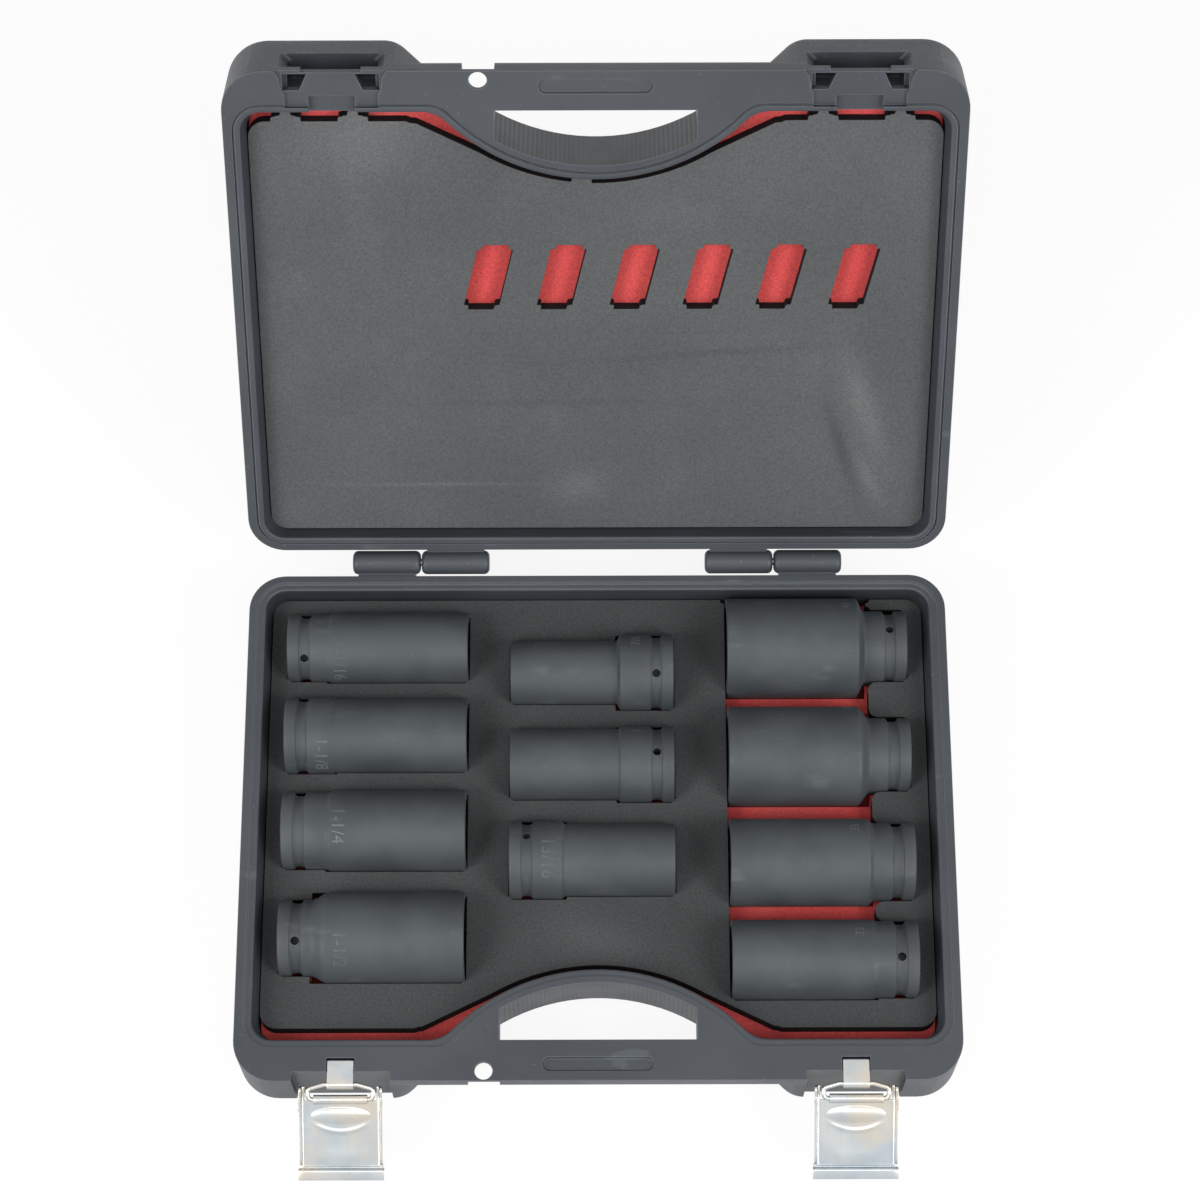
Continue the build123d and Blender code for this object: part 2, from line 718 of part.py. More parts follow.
# ---------------------------------------------------------------- sockets
def make_socket(name, column, _, flats, body, drive, collar, cone, drive_end, hole_angle):
    length = socket_length(column)
    start, mouth = socket_span(column, length, drive_end)
    toward = -drive_end
    y = case_depth / 2 - from_back[name]
    z = axis_height(body, drive)
    section = Plane(origin=(start, y, z), x_dir=(toward, 0, 0), z_dir=(0, -toward, 0))
    drive_plane = Plane(origin=(start, y, z), z_dir=(toward, 0, 0))
    body_r = body / 2
    drive_r = drive / 2
    groove_r = drive_r - drive_groove_depth
    groove_end = flange_length + drive_groove
    hexagon_depth = length - drive_depth - relief_length
    with BuildPart() as part:
        with BuildSketch(section):
            with BuildLine():
                Polyline(
                    (0, 0),
                    (0, drive_r - socket_edge),
                    (socket_edge, drive_r),
                    (flange_length, drive_r),
                    (flange_length, groove_r),
                    (groove_end, groove_r),
                    (groove_end, drive_r),
                    (collar, drive_r),
                    (collar + cone, body_r),
                    (length - socket_edge, body_r),
                    (length, body_r - socket_edge),
                    (length, 0),
                    close=True,
                )
            make_face()
        revolve(axis=Axis((start, y, z), (toward, 0, 0)))
        with BuildSketch(drive_plane.offset(length - hexagon_depth)):
            RegularPolygon(flats / 2, 6, major_radius=False)
        extrude(amount=hexagon_depth, mode=Mode.SUBTRACT)
        with BuildSketch(section):
            with BuildLine():
                Polyline(
                    (length, 0),
                    (length, flats / math.sqrt(3) + mouth_flare),
                    (length - mouth_chamfer, flats / 2),
                    (length - mouth_chamfer, 0),
                    close=True,
                )
            make_face()
        revolve(axis=Axis((start, y, z), (toward, 0, 0)), mode=Mode.SUBTRACT)
        with BuildSketch(drive_plane):
            Circle(relief_share * flats / 2)
        extrude(amount=length - hexagon_depth, mode=Mode.SUBTRACT)
        with BuildSketch(drive_plane):
            Rectangle(drive_square, drive_square)
        extrude(amount=drive_depth, mode=Mode.SUBTRACT)
        angle = math.radians(hole_angle)
        hole_x = start + toward * (flange_length + drive_groove / 2)
        with BuildSketch(Plane(origin=(hole_x, y, z), z_dir=(0, -math.sin(angle), math.cos(angle)))):
            Circle(pin_hole_radius)
        extrude(amount=drive_r, mode=Mode.SUBTRACT)
    return part


# ---------------------------------------------------------------- latches
ring_down = math.radians(ring_angle)
lever_down = math.radians(lever_angle)
bar_y = loop_y - ring_length * math.cos(ring_down)
bar_z = loop_z - ring_length * math.sin(ring_down)


def make_strap(x):
    leg_back = leg_y + sheet / 2
    run_top = half_height - strap_sink
    with BuildPart() as strap:
        with BuildSketch(Plane.YZ.offset(x)):
            with Locations((loop_y, loop_z)):
                Circle(loop_outer)
            with Locations(((leg_back + loop_y) / 2, run_top - sheet / 2)):
                Rectangle(leg_back - loop_y, sheet)
            with Locations((leg_y, run_top - (strap_leg - strap_sink) / 2)):
                Rectangle(sheet, strap_leg - strap_sink)
            with Locations((loop_y, loop_z)):
                Circle(loop_inner, mode=Mode.SUBTRACT)
        extrude(amount=strap_width / 2, both=True)
    return strap


def make_ring(x):
    plane = Plane(
        origin=(x, loop_y, loop_z),
        x_dir=(1, 0, 0),
        z_dir=(0, math.sin(ring_down), -math.cos(ring_down)),
    )
    half = ring_width / 2 - wire_radius
    with BuildSketch(plane) as outline:
        with BuildLine():
            Polyline(
                (-ring_crown, 0),
                (ring_crown, 0),
                (half, ring_shoulder),
                (half, ring_length),
                (-half, ring_length),
                (-half, ring_shoulder),
                close=True,
            )
        make_face()
        fillet(outline.vertices(), ring_round)
    path = outline.sketch.faces()[0].outer_wire()
    with BuildPart() as ring:
        with BuildSketch(Plane(origin=path @ 0, z_dir=path % 0)):
            Circle(wire_radius)
        sweep(path=path)
    return ring


def make_lever(x):
    """Drawn square to its length, on a plane whose y points out of its outer face."""
    plane = Plane(
        origin=(x, bar_y, bar_z),
        x_dir=(0, -math.cos(lever_down), -math.sin(lever_down)),
        z_dir=(1, 0, 0),
    )
    inner_face = lever_face - sheet
    lip_start = lever_length - lip_length
    with BuildPart() as lever:
        with BuildSketch(plane):
            with Locations(((lip_start + sheet) / 2, lever_face - sheet / 2)):
                Rectangle(lip_start + sheet, sheet)
            with Locations((lip_start + sheet / 2, lever_face - lip_height / 2)):
                Rectangle(sheet, lip_height)
            with Locations((lip_start + lip_length / 2, lever_face - lip_height + sheet / 2)):
                Rectangle(lip_length, sheet)
        extrude(amount=lever_width / 2, both=True)
        with BuildSketch(plane):
            Circle(lever_roll)
            Circle(loop_inner, mode=Mode.SUBTRACT)
        extrude(amount=roll_width / 2, both=True)
        with BuildSketch(plane):
            Circle(loop_inner)
        extrude(amount=roll_width / 2, both=True, mode=Mode.SUBTRACT)
        notch_width = (lever_width - roll_width) / 2 - lever_ear_width
        for side in (-1, 1):
            with BuildSketch(plane.offset(side * (roll_width + notch_width) / 2)):
                with Locations((roll_notch / 2, inner_face)):
                    Rectangle(roll_notch, 2 * sheet + lever_face)
            extrude(amount=notch_width / 2, both=True, mode=Mode.SUBTRACT)
            with BuildSketch(plane.offset(side * (lever_width - lever_ear_width) / 2)):
                with Locations((-lever_ear / 2, lever_face - sheet / 2)):
                    Rectangle(lever_ear, sheet)
            extrude(amount=lever_ear_width / 2, both=True)
            with BuildSketch(plane.offset(side * (lever_width - sheet) / 2)):
                with BuildLine():
                    Polyline(
                        (-lever_ear, lever_face),
                        (-lever_ear, lever_face - lever_flange),
                        (hook_root, lever_face - lever_flange),
                        (hook_root, lever_face - hook_height + sheet),
                        (-hook_tip, lever_face - hook_height + sheet),
                        (-hook_tip, lever_face - hook_height),
                        (hook_end, lever_face - hook_height),
                        (hook_end, lever_face - lever_flange),
                        (lip_start - sheet, lever_face - lever_flange),
                        (lip_start - sheet, lever_face),
                        close=True,
                    )
                make_face()
            extrude(amount=sheet / 2, both=True)
        face_at = plane.from_local_coords((0, inner_face, 0))
        with BuildSketch(Plane(origin=face_at, x_dir=(1, 0, 0), z_dir=plane.y_dir * -1)):
            with Locations((0, -emboss_at)):
                Ellipse(emboss_length / 2, emboss_width / 2)
        extrude(amount=emboss_height)
    return lever


# ---------------------------------------------------------------- write every piece
save(make_base_shell(), "base_shell")
save(make_lid_shell(), "lid_shell")
for name, (low, high) in zip(("left_hinge_pin", "right_hinge_pin"), pin_spans):
    save(make_pin(low, high), name)
save(make_base_red_foam(), "base_red_foam")
save(make_base_black_foam(), "base_black_foam")
save(make_lid_red_foam(), "lid_red_foam")
save(make_lid_black_foam(), "lid_black_foam")
for row in sockets:
    save(make_socket(*row), row[0])
for side, x in latch_sides:
    save(make_strap(x), f"{side}_latch_strap")
    save(make_ring(x), f"{side}_latch_ring")
    save(make_lever(x), f"{side}_latch_lever")
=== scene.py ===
import json
import math

import bmesh
import bpy
from mathutils import Matrix, Vector


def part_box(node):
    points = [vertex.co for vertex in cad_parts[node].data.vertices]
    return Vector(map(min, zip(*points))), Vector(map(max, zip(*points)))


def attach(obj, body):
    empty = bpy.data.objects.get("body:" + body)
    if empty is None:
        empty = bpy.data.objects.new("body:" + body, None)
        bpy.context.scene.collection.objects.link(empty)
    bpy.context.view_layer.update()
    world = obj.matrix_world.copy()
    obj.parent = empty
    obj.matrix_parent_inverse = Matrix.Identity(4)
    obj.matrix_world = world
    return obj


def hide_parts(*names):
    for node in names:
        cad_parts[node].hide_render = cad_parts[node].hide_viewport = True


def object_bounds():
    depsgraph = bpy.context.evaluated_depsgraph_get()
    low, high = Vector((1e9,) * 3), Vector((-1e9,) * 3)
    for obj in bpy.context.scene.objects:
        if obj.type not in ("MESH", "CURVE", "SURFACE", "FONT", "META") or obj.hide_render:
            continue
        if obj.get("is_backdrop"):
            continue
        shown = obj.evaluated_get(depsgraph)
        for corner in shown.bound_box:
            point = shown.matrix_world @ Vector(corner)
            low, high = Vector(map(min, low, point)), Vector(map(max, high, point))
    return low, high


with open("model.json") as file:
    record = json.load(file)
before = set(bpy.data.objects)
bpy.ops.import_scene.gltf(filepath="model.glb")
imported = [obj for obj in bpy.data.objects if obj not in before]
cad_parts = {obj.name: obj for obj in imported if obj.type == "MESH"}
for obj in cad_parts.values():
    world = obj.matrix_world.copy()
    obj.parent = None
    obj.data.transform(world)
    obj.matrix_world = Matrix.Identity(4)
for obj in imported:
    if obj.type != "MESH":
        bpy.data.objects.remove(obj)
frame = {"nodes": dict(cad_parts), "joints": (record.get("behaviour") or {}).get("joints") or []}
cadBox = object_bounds()
print("frame loaded:", len(frame["nodes"]), "nodes")

mm = 0.001
joints = {joint["name"]: joint for joint in frame["joints"]}
openAngle = math.radians(joints["lid_hinge"]["range_deg"][1])
hingePlace = Vector(joints["lid_hinge"]["pos_m"])

caseShape = {  # each half lies on its rim: along the case, from the hinge to the handle, out of the half
    "depth": 286 * mm,
    "height": 52 * mm,
    "hingeOffset": 8.1 * mm,
    "partingGap": 0.3 * mm,
}


class HalfPlace:  # where a half's rim lies
    def __init__(self, origin, along, out):
        self.origin = origin
        self.along = along
        self.out = out


def openLidPlace():
    along = Vector((0, -math.cos(openAngle), math.sin(openAngle)))
    out = Vector((0, -math.sin(openAngle), -math.cos(openAngle)))
    origin = hingePlace + along * caseShape["hingeOffset"] - out * caseShape["partingGap"] / 2
    return HalfPlace(Vector((0, origin.y, origin.z)), along, out)


baseOrigin = Vector((0, caseShape["depth"] / 2, caseShape["height"]))
basePlace = HalfPlace(baseOrigin, Vector((0, -1, 0)), Vector((0, 0, 1)))
lidPlace = openLidPlace()


class Term:  # a socket's value in a shader expression
    def __init__(self, shader, socket):
        self.shader = shader
        self.socket = socket

    def maths(self, operation, first, second=0.0):
        return self.shader.make("ShaderNodeMath", {"operation": operation}, {0: first, 1: second})

    def __add__(self, other):
        return self.maths("ADD", self, other)

    def __sub__(self, other):
        return self.maths("SUBTRACT", self, other)

    def __mul__(self, other):
        return self.maths("MULTIPLY", self, other)

    def __truediv__(self, other):
        return self.maths("DIVIDE", self, other)

    def __radd__(self, other):
        return self.maths("ADD", other, self)

    def __rsub__(self, other):
        return self.maths("SUBTRACT", other, self)

    def __rmul__(self, other):
        return self.maths("MULTIPLY", other, self)

    def __abs__(self):
        return self.maths("ABSOLUTE", self)

    def sine(self):
        return self.maths("SINE", self)

    def exponent(self):
        return self.maths("EXPONENT", self)

    def least(self, other):
        return self.maths("MINIMUM", self, other)

    def most(self, other):
        return self.maths("MAXIMUM", self, other)

    def power(self, other):
        return self.maths("POWER", self, other)


class Shader:  # a material under construction
    def __init__(self, name, **uniform):
        self.material = bpy.data.materials.new(name)
        self.material.use_nodes = True
        self.tree = self.material.node_tree
        self.surface = self.tree.nodes["Principled BSDF"]
        for socket, value in uniform.items():
            self.surface.inputs[socket.replace("_", " ")].default_value = value
        self.place = self.make("ShaderNodeTexCoord", out="Object")
        self.facing = self.make("ShaderNodeTexCoord", out="Normal")

    def make(self, kind, settings=None, values=None, out=0):
        node = self.tree.nodes.new(kind)
        for key, value in (settings or {}).items():
            setattr(node, key, value)
        for key, value in (values or {}).items():
            if isinstance(value, Term):
                self.tree.links.new(value.socket, node.inputs[key])
            else:
                node.inputs[key].default_value = value
        return Term(self, node.outputs[out])

    def mapped(self, scale=(1, 1, 1), place=None):
        return self.make("ShaderNodeMapping", {}, {"Vector": place or self.place, "Scale": scale})

    def noise(self, scale, detail=2.0, stretch=(1, 1, 1), place=None):
        where = self.mapped(stretch, place)
        return self.make("ShaderNodeTexNoise", {}, {"Vector": where, "Scale": scale, "Detail": detail})

    def ramp(self, value, low, high):
        settings = {"interpolation_type": "SMOOTHSTEP"}
        values = {"Value": value, "From Min": low, "From Max": high}
        return self.make("ShaderNodeMapRange", settings, values)

    def mix(self, factor, first, second):
        values = {0: factor, 6: first, 7: second}
        return self.make("ShaderNodeMix", {"data_type": "RGBA"}, values, out=2)

    def dot(self, first, second):
        settings = {"operation": "DOT_PRODUCT"}
        return self.make("ShaderNodeVectorMath", settings, {0: first, 1: second}, out="Value")

    def on(self, half):  # along the case, from the hinge, out of the half, all in millimetres
        moved = self.make("ShaderNodeVectorMath", {"operation": "SUBTRACT"}, {0: self.place, 1: half.origin})
        return [self.dot(moved, axis) * 1000 for axis in (Vector((1, 0, 0)), half.along, half.out)]

    def rounded(self, radius):  # the normal with sharp edges softened
        return self.make("ShaderNodeBevel", {"samples": 4}, {"Radius": radius})

    def edges(self, radius, low=0.02, high=0.22):  # 1 along sharp edges
        flat = self.make("ShaderNodeNewGeometry", out="Normal")
        return self.ramp(1 - self.dot(self.rounded(radius), flat), low, high)

    def hollows(self, reach, low, high):  # 1 deep in corners and recesses, 0 in the open, from ambient occlusion; it masks painted shade
        settings = {"samples": 6}
        openness = self.make("ShaderNodeAmbientOcclusion", settings, {"Distance": reach}, "AO")
        return 1 - self.ramp(openness, low, high)

    def bump(self, height, distance, strength=1.0, normal=None):
        values = {"Height": height, "Distance": distance, "Strength": strength}
        if normal:
            values["Normal"] = normal
        return self.make("ShaderNodeBump", {}, values)

    def connect(self, **links):
        for socket, term in links.items():
            self.tree.links.new(term.socket, self.surface.inputs[socket.replace("_", " ")])
        return self.material


def colour(red, green, blue):  # from screen values of 0 to 255
    def linear(value):
        value = value / 255
        return value / 12.92 if value <= 0.04045 else ((value + 0.055) / 1.055) ** 2.4
    return (linear(red), linear(green), linear(blue), 1.0)


def dress(node, material):
    slots = frame["nodes"][node].data.materials
    slots.clear()
    slots.append(material)


def smear(along, across, centre, angle, length, width):  # 1 in the middle of a soft stroke
    turn = math.radians(angle)
    right = along - centre[0]
    up = across - centre[1]
    onward = (right * math.cos(turn) + up * math.sin(turn)) / length
    aside = (up * math.cos(turn) - right * math.sin(turn)) / width
    return ((onward * onward + aside * aside) * -1).exponent()


plasticLook = {
    "body": colour(56, 60, 66),
    "pale": colour(67, 71, 77),
    # wear and painted highlight: dust, scratches, pale edges and knurl tops
    "wearAndHighlight": colour(136, 144, 150),
    # painted shade colour for corners, deep walls, knurl pits and the finger opening
    "hollow": colour(40, 43, 48),
    "knurlPitch": 2.3,
    "ribPitch": 2.4,
    "knurlFrom": 88.0,
    "fingerHalf": 53.4,
    "fingerNear": 231.0,
    "fingerFar": 268.0,
    "hollowReach": 45 * mm,
    "edgeReach": 0.9 * mm,
    "softening": 0.7 * mm,
    "grainDepth": 0.05 * mm,
    "reliefDepth": 0.5 * mm,
}


def makePlastic(name, half):
    look = plasticLook
    shader = Shader(name, Roughness=0.5)
    along, across, out = shader.on(half)
    shade = shader.noise(14, 4)
    grain = shader.noise(1500, 3)
    edge = shader.edges(look["edgeReach"])
    dust = shader.ramp(shader.noise(420, 2), 0.7, 0.76)
    scratches = shader.ramp(shader.noise(90, 5, stretch=(0.3, 1, 1)), 0.66, 0.72)
    body = shader.mix(shader.ramp(shade, 0.3, 0.7), look["body"], look["pale"])
    # wear and painted highlight: sharp edges turn pale, as worn and as catching the light
    body = shader.mix(edge * 0.7, body, look["wearAndHighlight"])
    body = shader.mix(dust * 0.25 + scratches * 0.14, body, look["wearAndHighlight"])
    # painted shade: darker where ambient occlusion finds corners and deep walls
    body = shader.mix(shader.hollows(look["hollowReach"], 0.25, 0.85) * 0.6, body, look["hollow"])
    rough = 0.4 + shader.noise(60, 3) * 0.16

    onFront = shader.ramp(shader.dot(shader.facing, half.along), 0.75, 0.95)
    onFront = onFront * shader.ramp(abs(along), look["knurlFrom"], look["knurlFrom"] + 1)
    onFront = onFront * shader.ramp(across, caseShape["depth"] / mm - 2.2, caseShape["depth"] / mm - 1.4)
    onFront = onFront * shader.ramp(out * -1, 1.5, 2.5)
    step = 2 * math.pi / look["knurlPitch"]
    knurl = abs(((along + out) * step / 2).sine()).least(abs(((along - out) * step / 2).sine()))

    inFinger = shader.ramp(look["fingerHalf"] - abs(along), 0.0, 1.0)
    inFinger = inFinger * shader.ramp(across, look["fingerNear"] - 1, look["fingerNear"])
    inFinger = inFinger * shader.ramp(look["fingerFar"] - across, 0.0, 1.0)
    inFinger = inFinger * shader.ramp(shader.dot(shader.facing, half.along), 0.3, 0.5)
    ribs = abs((along * (math.pi / look["ribPitch"])).sine())

    relief = knurl * onFront * 0.8 + ribs * inFinger * 0.7
    # painted highlight: the knurl's tops are lighter
    body = shader.mix(shader.ramp(knurl, 0.3, 0.75) * onFront * 0.3, body, look["wearAndHighlight"])
    # painted shade: darker in the knurl's pits, in the rib valleys and over the whole wall of the finger
    # opening
    recessShade = (1 - shader.ramp(knurl, 0.0, 0.4)) * onFront + (1.6 - shader.ramp(ribs, 0.0, 0.6)) * inFinger
    body = shader.mix(recessShade * 0.6, body, look["hollow"])
    normal = shader.bump(grain, look["grainDepth"], 0.5, shader.rounded(look["softening"]))
    normal = shader.bump(relief, look["reliefDepth"], 1.0, normal)
    return shader.connect(Base_Color=body, Roughness=rough, Normal=normal)


foamLook = {
    "blackFace": colour(92, 94, 95),
    "blackPale": colour(118, 119, 120),
    "blackDeep": colour(74, 76, 77),
    # painted shade colours for the foam's upright walls
    "blackSideShade": colour(28, 29, 31),
    "redFace": colour(222, 88, 86),
    "redPale": colour(232, 124, 116),
    "redDeep": colour(188, 62, 64),
    "redSideShade": colour(198, 68, 70),
    "cell": 0.55 * mm,
    "cellDepth": 0.14 * mm,
    "softening": 0.4 * mm,
    "basePaintedShade": 0.68,       # painted shade: the lower half's foam colour is darkened against the lid's, for the shade of its walls and sockets
}


def makeFoam(name, tint, half, strokes=(), shade=1.0):
    look = foamLook
    shader = Shader(name, Roughness=0.92, Specular_IOR_Level=0.2)
    along, across, _ = shader.on(half)
    cells = shader.noise(1 / look["cell"], 3)
    clumps = shader.noise(0.4 / look["cell"], 3)
    patches = shader.noise(11, 4)
    wipes = shader.ramp(shader.noise(18, 5, stretch=(1, 0.3, 1)), 0.56, 0.78)
    onFace = shader.ramp(shader.dot(shader.facing, half.out), 0.55, 0.9)
    face = shader.mix(shader.ramp(patches, 0.3, 0.72) * 0.4, look[tint + "Face"], look[tint + "Deep"])
    face = shader.mix(wipes * 0.22, face, look[tint + "Pale"])
    for centre, angle, length, width, strength in strokes:
        stroke = smear(along, across, centre, angle, length, width)
        target = "Pale" if strength > 0 else "Deep"
        face = shader.mix(stroke * abs(strength), face, look[tint + target])
    # painted shade: walls that do not face out of the half take a darker colour
    surface = shader.mix(onFace, look[tint + "SideShade"], face)
    tone = 0.7 + shader.ramp(cells, 0.25, 0.75) * 0.36 + shader.ramp(clumps, 0.3, 0.7) * 0.22
    settings = {"data_type": "RGBA", "blend_type": "MULTIPLY"}
    # shade scales the whole foam colour down: painted shade, used for the lower half
    grained = shader.make("ShaderNodeMix", settings, {0: 1.0, 6: surface, 7: tone * shade}, out=2)
    normal = shader.bump(cells, look["cellDepth"], 0.6, shader.rounded(look["softening"]))
    return shader.connect(Base_Color=grained, Normal=normal)


lidStrokes = (  # middle, lean, half length and width in millimetres, then pale or, below zero, dark
    ((146, 84), 108, 34, 7, 0.55),
    ((134, 60), 108, 26, 4, -0.8),
    ((150, 40), 112, 18, 4, 0.4),
    ((-10, 36), 20, 14, 9, 0.35),
    ((-92, 37), 0, 46, 1.1, 0.35),
    ((-120, 250), 10, 40, 22, 0.3),
    ((60, 118), 4, 60, 2.0, -0.4),
    ((-30, 88), 0, 70, 2.5, -0.3),
)
baseStrokes = (
    ((0, 205), 15, 26, 12, 0.35),
    ((-150, 262), 30, 20, 6, 0.3),
)


steelLook = {
    "body": colour(66, 71, 74),
    "pale": colour(78, 83, 86),
    "scuffed": colour(126, 132, 134),
    "wearAndHighlight": colour(150, 155, 156),
    "mark": colour(112, 117, 119),
    "edgeReach": 0.45 * mm,
    "softening": 0.25 * mm,
    "grainDepth": 0.05 * mm,
}


def makeSocketSteel(name, mark=False):
    look = steelLook
    shader = Shader(name, Roughness=0.5, Specular_IOR_Level=0.45, Metallic=0.15)
    grain = shader.noise(1300, 3)
    cloud = shader.noise(34, 4)
    scuffs = shader.ramp(shader.noise(75, 6, stretch=(0.4, 1, 1)), 0.62, 0.76)
    specks = shader.ramp(shader.noise(760, 2), 0.71, 0.77)
    edge = shader.edges(look["edgeReach"])
    body = shader.mix(shader.ramp(cloud, 0.3, 0.7), look["mark" if mark else "body"], look["pale"])
    body = shader.mix(scuffs * 0.22, body, look["scuffed"])
    body = shader.mix(specks * 0.3, body, look["wearAndHighlight"])
    body = shader.mix(edge * 0.45, body, look["wearAndHighlight"])
    rough = 0.5 + cloud * 0.16 - edge * 0.12
    normal = shader.bump(grain, look["grainDepth"], 0.6, shader.rounded(look["softening"]))
    return shader.connect(Base_Color=body, Roughness=rough, Normal=normal)


zincLook = {
    "bright": colour(204, 206, 205),
    "warm": colour(210, 198, 180),
    "cool": colour(176, 186, 193),
    "dull": colour(140, 145, 147),
    # painted shade colour for the zinc's recesses
    "recessShade": colour(96, 100, 104),
    "recessShadeReach": 2.5 * mm,
    "edgeReach": 0.3 * mm,
    "softening": 0.25 * mm,
}


def makeZinc(name):
    look = zincLook
    shader = Shader(name, Metallic=1.0)
    streaks = shader.noise(420, 3, stretch=(1, 0.08, 0.08))
    cloud = shader.noise(48, 4)
    warmth = shader.ramp(shader.noise(30, 3), 0.42, 0.66)
    specks = shader.ramp(shader.noise(700, 2), 0.66, 0.74)
    edge = shader.edges(look["edgeReach"])
    body = shader.mix(shader.ramp(cloud, 0.3, 0.7), look["bright"], look["cool"])
    body = shader.mix(warmth * 0.75, body, look["warm"])
    body = shader.mix(specks * 0.3, body, look["dull"])
    # painted shade: darker in recesses found by ambient occlusion
    body = shader.mix(shader.hollows(look["recessShadeReach"], 0.2, 0.75) * 0.7, body, look["recessShade"])
    rough = 0.2 + cloud * 0.12 + streaks * 0.08 - edge * 0.05
    soft = shader.rounded(look["softening"])
    normal = shader.bump(streaks + specks * 0.3, 0.02 * mm, 0.4, soft)
    return shader.connect(Base_Color=body, Roughness=rough, Normal=normal)


basePlastic = makePlastic("satinPlasticBase", basePlace)
lidPlastic = makePlastic("satinPlasticLid", lidPlace)
baseBlack = makeFoam("blackFoamBase", "black", basePlace, baseStrokes, foamLook["basePaintedShade"])
lidBlack = makeFoam("blackFoamLid", "black", lidPlace, lidStrokes)
baseRed = makeFoam("redFoamBase", "red", basePlace)
lidRed = makeFoam("redFoamLid", "red", lidPlace)
socketSteel = makeSocketSteel("phosphatedSteel")
markSteel = makeSocketSteel("stampedSteel", mark=True)
zinc = makeZinc("zincPlatedSteel")

dress("base_shell", basePlastic)
dress("lid_shell", lidPlastic)
for side in ("left", "right"):
    for piece in ("hinge_pin", "latch_ring"):
        dress(side + "_" + piece, zinc)
print("finishes made")


def settled(piece, sharp):  # its modifiers made part of its mesh
    bpy.context.view_layer.update()
    shaped = piece.evaluated_get(bpy.context.evaluated_depsgraph_get())
    mesh = bpy.data.meshes.new_from_object(shaped)
    piece.modifiers.clear()
    piece.data = mesh
    mesh.name = piece.name
    mesh.polygons.foreach_set("use_smooth", [True] * len(mesh.polygons))
    mesh.set_sharp_from_angle(angle=math.radians(sharp))


def finished(name, bm, material, body, sharp=35, modifiers=()):
    bmesh.ops.remove_doubles(bm, verts=bm.verts, dist=0.005 * mm)
    bmesh.ops.recalc_face_normals(bm, faces=bm.faces)
    mesh = bpy.data.meshes.new(name)
    bm.to_mesh(mesh)
    bm.free()
    piece = bpy.data.objects.new(name, mesh)
    bpy.context.scene.collection.objects.link(piece)
    mesh.materials.append(material)
    for kind, settings in modifiers:
        modifier = piece.modifiers.new(kind.lower(), kind)
        for key, value in settings.items():
            setattr(modifier, key, value)
    settled(piece, sharp)
    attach(piece, body)
    return piece


def newVerts(result):
    return [item for item in result["geom"] if isinstance(item, bmesh.types.BMVert)]


def newEdges(result):
    return [item for item in result["geom"] if isinstance(item, bmesh.types.BMEdge)]


def outlineReach(flats, radius, angle):  # flats 0 is round
    if not flats:
        return radius
    step = 2 * math.pi / flats
    return radius / math.cos((angle + step / 2) % step - step / 2)


def loftRings(stations, segments=96):  # a closed skin through (place, radius, flats) rings along +Z
    bm = bmesh.new()
    first = bmesh.ops.create_circle(bm, segments=segments, radius=1.0)["verts"]
    edges = bm.edges[:]
    firstEdges = edges
    verts = first
    for count, (place, radius, flats) in enumerate(stations):
        if count:
            result = bmesh.ops.extrude_edge_only(bm, edges=edges)
            verts = newVerts(result)
            edges = newEdges(result)
        for vert in verts:
            angle = math.atan2(vert.co.y, vert.co.x)
            reach = outlineReach(flats, radius, angle)
            vert.co = Vector((reach * math.cos(angle), reach * math.sin(angle), place))
    bmesh.ops.bridge_loops(bm, edges=firstEdges + edges)
    return bm


def cornerRound(radius, size, steps=4):  # a quarter round at the drive end, from its face to its side
    made = []
    for step in range(steps + 1):
        turn = math.pi / 2 * step / steps
        made.append((size * (1 - math.cos(turn)), radius - size * (1 - math.sin(turn)), 0))
    return made


foamShape = {
    "lidUpright": 2.6 * mm,      # rounding of the upright edges
    "baseUpright": 2.0 * mm,
    "tight": 0.8 * mm,           # where the walls are too narrow for it
    "rim": 0.5 * mm,             # rounding of the edges along the faces
    "sharp": 25,                 # edges that turn more than this many degrees are rounded
    "room": 2.1,                 # widths of its rounding that a wall needs
}


def sharpEdges(bm, upright, out):  # the sharp edges that run along out, or the ones that don't
    found = []
    for edge in bm.edges:
        if len(edge.link_faces) != 2 or edge.calc_face_angle(0) < math.radians(foamShape["sharp"]):
            continue
        run = (edge.verts[1].co - edge.verts[0].co).normalized()
        if (abs(run.dot(out)) > 0.95) == upright:
            found.append(edge)
    return found


def roomBeside(edge):  # width of the narrower wall
    return min(face.calc_area() for face in edge.link_faces) / edge.calc_length()


def roundUpright(bm, out, size):  # on the bare walls of a flat sheet, whose faces are put back after
    flat = [face for face in bm.faces if abs(face.normal.dot(out)) > 0.99]
    bmesh.ops.delete(bm, geom=flat, context="FACES_ONLY")
    bmesh.ops.delete(bm, geom=[edge for edge in bm.edges if edge.is_wire], context="EDGES")
    room = foamShape["room"] * size
    roomy = [edge for edge in sharpEdges(bm, True, out) if roomBeside(edge) > room]
    bmesh.ops.bevel(bm, geom=roomy, offset=size, segments=5, affect="EDGES", clamp_overlap=False)
    tight = sharpEdges(bm, True, out)
    size = foamShape["tight"]
    bmesh.ops.bevel(bm, geom=tight, offset=size, segments=3, affect="EDGES", clamp_overlap=True)
    heights = [vert.co.dot(out) for vert in bm.verts]
    middle = (min(heights) + max(heights)) / 2
    rims = [edge for edge in bm.edges if edge.is_boundary]
    for above in (False, True):
        level = [edge for edge in rims if (edge.verts[0].co.dot(out) > middle) == above]
        bmesh.ops.triangle_fill(bm, use_beauty=True, edges=level)
    bmesh.ops.recalc_face_normals(bm, faces=bm.faces)


